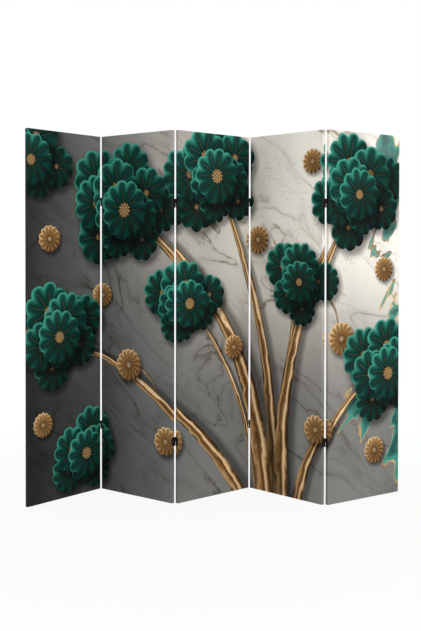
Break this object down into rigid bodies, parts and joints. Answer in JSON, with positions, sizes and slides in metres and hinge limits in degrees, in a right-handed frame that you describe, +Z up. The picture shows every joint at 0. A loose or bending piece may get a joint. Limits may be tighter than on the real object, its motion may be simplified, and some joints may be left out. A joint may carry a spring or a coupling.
{
  "type": "room divider",
  "caption": "Folding room divider of tall stretched-canvas panels on wooden frames, joined edge to edge by double-action hinges and standing in a zigzag.",
  "frame": {"origin": "centre of the folded screen's outline on the floor", "axes": "+X along the row of panels from left to right seen from the printed front, +Y from the printed front to the back, +Z up"},
  "size_m": [1.7514, 0.382, 1.72],
  "materials": {
    "printed_canvas": "matt printed cotton canvas",
    "pine": "planed raw pine",
    "hinge_steel": "black-brown satin paint"
  },
  "bodies": {
    "panel_1": {"panel_1_stile_left": "pine", "panel_1_stile_right": "pine", "panel_1_rail_top": "pine", "panel_1_rail_bottom": "pine", "panel_1_rail_cross": "pine", "panel_1_canvas_front": "printed_canvas", "panel_1_canvas_edges": "printed_canvas", "panel_1_canvas_flaps": "printed_canvas", "hinge_1_leaves_left": "hinge_steel"},
    "panel_2": {"panel_2_stile_left": "pine", "panel_2_stile_right": "pine", "panel_2_rail_top": "pine", "panel_2_rail_bottom": "pine", "panel_2_rail_cross": "pine", "panel_2_canvas_front": "printed_canvas", "panel_2_canvas_edges": "printed_canvas", "panel_2_canvas_flaps": "printed_canvas", "hinge_1_leaves_right": "hinge_steel", "hinge_2_leaves_left": "hinge_steel"},
    "panel_3": {"panel_3_stile_left": "pine", "panel_3_stile_right": "pine", "panel_3_rail_top": "pine", "panel_3_rail_bottom": "pine", "panel_3_rail_cross": "pine", "panel_3_canvas_front": "printed_canvas", "panel_3_canvas_edges": "printed_canvas", "panel_3_canvas_flaps": "printed_canvas", "hinge_2_leaves_right": "hinge_steel", "hinge_3_leaves_left": "hinge_steel"},
    "panel_4": {"panel_4_stile_left": "pine", "panel_4_stile_right": "pine", "panel_4_rail_top": "pine", "panel_4_rail_bottom": "pine", "panel_4_rail_cross": "pine", "panel_4_canvas_front": "printed_canvas", "panel_4_canvas_edges": "printed_canvas", "panel_4_canvas_flaps": "printed_canvas", "hinge_3_leaves_right": "hinge_steel", "hinge_4_leaves_left": "hinge_steel"},
    "panel_5": {"panel_5_stile_left": "pine", "panel_5_stile_right": "pine", "panel_5_rail_top": "pine", "panel_5_rail_bottom": "pine", "panel_5_rail_cross": "pine", "panel_5_canvas_front": "printed_canvas", "panel_5_canvas_edges": "printed_canvas", "panel_5_canvas_flaps": "printed_canvas", "hinge_4_leaves_right": "hinge_steel"},
    "plate_1": {"hinge_1_plates": "hinge_steel"},
    "plate_2": {"hinge_2_plates": "hinge_steel"},
    "plate_3": {"hinge_3_plates": "hinge_steel"},
    "plate_4": {"hinge_4_plates": "hinge_steel"}
  },
  "joints": [
    {"name": "seam_3_front_pin", "type": "hinge", "parent": "panel_3", "child": "plate_3", "pos_m": [0.15704, 0.17334, 0], "axis": [0, 0, -1], "range_deg": [-86.8, 91.2]},
    {"name": "seam_3_rear_pin", "type": "hinge", "parent": "plate_3", "child": "panel_4", "pos_m": [0.17284, 0.18893, 0], "axis": [0, 0, -1], "range_deg": [-178, 0]},
    {"name": "seam_4_front_pin", "type": "hinge", "parent": "panel_4", "child": "plate_4", "pos_m": [0.47595, -0.15006, 0], "axis": [0, 0, 1], "range_deg": [-178, 0]},
    {"name": "seam_4_rear_pin", "type": "hinge", "parent": "plate_4", "child": "panel_5", "pos_m": [0.49176, -0.13447, 0], "axis": [0, 0, 1], "range_deg": [-79.7, 98.3]},
    {"name": "seam_2_rear_pin", "type": "hinge", "parent": "panel_3", "child": "plate_2", "pos_m": [-0.19834, -0.11037, 0], "axis": [0, 0, -1], "range_deg": [-79.5, 98.5]},
    {"name": "seam_2_front_pin", "type": "hinge", "parent": "plate_2", "child": "panel_2", "pos_m": [-0.21204, -0.12784, 0], "axis": [0, 0, -1], "range_deg": [-165, 0]},
    {"name": "seam_1_rear_pin", "type": "hinge", "parent": "panel_2", "child": "plate_1", "pos_m": [-0.55577, 0.16988, 0], "axis": [0, 0, 1], "range_deg": [-178, 0]},
    {"name": "seam_1_front_pin", "type": "hinge", "parent": "plate_1", "child": "panel_1", "pos_m": [-0.56947, 0.15241, 0], "axis": [0, 0, 1], "range_deg": [-88, 90]}
  ]
}
